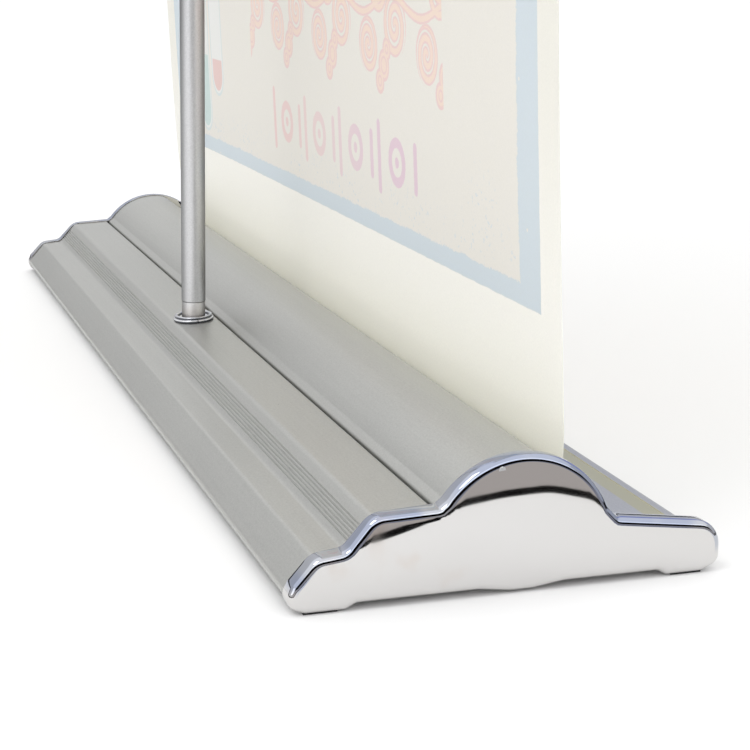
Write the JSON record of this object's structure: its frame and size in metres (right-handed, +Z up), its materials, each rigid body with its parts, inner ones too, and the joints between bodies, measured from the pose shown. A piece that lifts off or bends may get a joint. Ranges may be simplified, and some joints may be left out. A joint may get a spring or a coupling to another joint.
{
  "type": "roll-up banner stand",
  "caption": "Roll-up banner stand: wide aluminium base with chrome end caps, spring roller, telescopic pole, clamp rail and printed film.",
  "frame": {"origin": "centre of the footprint, on the floor", "axes": "+Z up, X along the base, -Y towards the side that shows the graphic, +Y towards the pole"},
  "size_m": [0.897, 0.2314, 2.0943],
  "materials": {
    "anodised_aluminium": "satin anodised",
    "chrome": "mirror plated",
    "zinc_steel": "zinc plated",
    "printed_film": "satin, printed on the front",
    "black_plastic": "fine texture",
    "grey_plastic": "fine texture",
    "pad_rubber": "matt",
    "elastic_cord": "braided"
  },
  "bodies": {
    "base": {"end_cap_left": "chrome", "end_cap_right": "chrome", "end_plate_left": "zinc_steel", "end_plate_right": "zinc_steel", "end_screw_left_1": "zinc_steel", "end_screw_left_2": "zinc_steel", "end_screw_left_3": "zinc_steel", "end_screw_left_4": "zinc_steel", "end_screw_left_5": "zinc_steel", "end_screw_left_6": "zinc_steel", "end_screw_right_1": "zinc_steel", "end_screw_right_2": "zinc_steel", "end_screw_right_3": "zinc_steel", "end_screw_right_4": "zinc_steel", "end_screw_right_5": "zinc_steel", "end_screw_right_6": "zinc_steel", "floor_plate": "zinc_steel", "floor_screw_front_left": "zinc_steel", "floor_screw_front_right": "zinc_steel", "floor_screw_rear_left": "zinc_steel", "floor_screw_rear_right": "zinc_steel", "foot_pad_front_left": "pad_rubber", "foot_pad_front_right": "pad_rubber", "foot_pad_rear_left": "pad_rubber", "foot_pad_rear_right": "pad_rubber", "front_deck": "anodised_aluminium", "idler_pin": "zinc_steel", "pole_ring": "chrome", "pole_socket": "black_plastic", "rear_deck": "anodised_aluminium", "roller_cover": "anodised_aluminium", "socket_screw_left": "zinc_steel", "socket_screw_right": "zinc_steel", "spring_mandrel": "zinc_steel", "torsion_spring": "zinc_steel"},
    "roller": {"roller_tube": "anodised_aluminium", "film_wrap": "printed_film", "roller_plug_left": "black_plastic", "roller_plug_right": "black_plastic", "spring_anchor": "black_plastic"},
    "lower_pole": {"pole_foot": "anodised_aluminium", "pole_tube_lower": "anodised_aluminium", "pole_joint_plug": "black_plastic", "pole_tube_middle": "anodised_aluminium", "shock_cord": "elastic_cord", "lock_sleeve": "black_plastic"},
    "twist_collar": {"lock_collar": "black_plastic"},
    "top_pole": {"pole_tube_top": "anodised_aluminium", "pole_guide_bush": "black_plastic", "pole_head": "grey_plastic"},
    "top_rail": {"rail_back": "anodised_aluminium", "rail_cap_left": "grey_plastic", "rail_cap_right": "grey_plastic", "rail_screw_left": "zinc_steel", "rail_screw_right": "zinc_steel", "banner_film": "printed_film"},
    "clamp_jaw": {"rail_jaw": "anodised_aluminium"}
  },
  "joints": [
    {"name": "roller_spin", "type": "hinge", "parent": "base", "child": "roller", "pos_m": [0, -0.01749, 0.029], "axis": [1, 0, 0], "range_deg": [-10, 1600]},
    {"name": "pole_lift", "type": "slide", "parent": "base", "child": "lower_pole", "axis": [0, 0, 1], "range_m": [0, 0.03]},
    {"name": "collar_twist", "type": "hinge", "parent": "lower_pole", "child": "twist_collar", "pos_m": [0, 0.05618, 1.4236], "axis": [0, 0, 1], "range_deg": [0, 90]},
    {"name": "pole_telescope", "type": "slide", "parent": "lower_pole", "child": "top_pole", "axis": [0, 0, 1], "range_m": [-0.5, 0], "deforming": ["banner_film"]},
    {"name": "rail_unhook", "type": "slide", "parent": "top_pole", "child": "top_rail", "axis": [0, 0.0343, 0.9994], "range_m": [0, 0.012]},
    {"name": "jaw_open", "type": "hinge", "parent": "top_rail", "child": "clamp_jaw", "pos_m": [0, 0.03311, 2.08921], "axis": [-1, 0, 0], "range_deg": [0, 50]}
  ],
  "couplings": [
    {"joint": "roller_spin", "follows": "pole_telescope", "rad_per_m": -55.556}
  ]
}
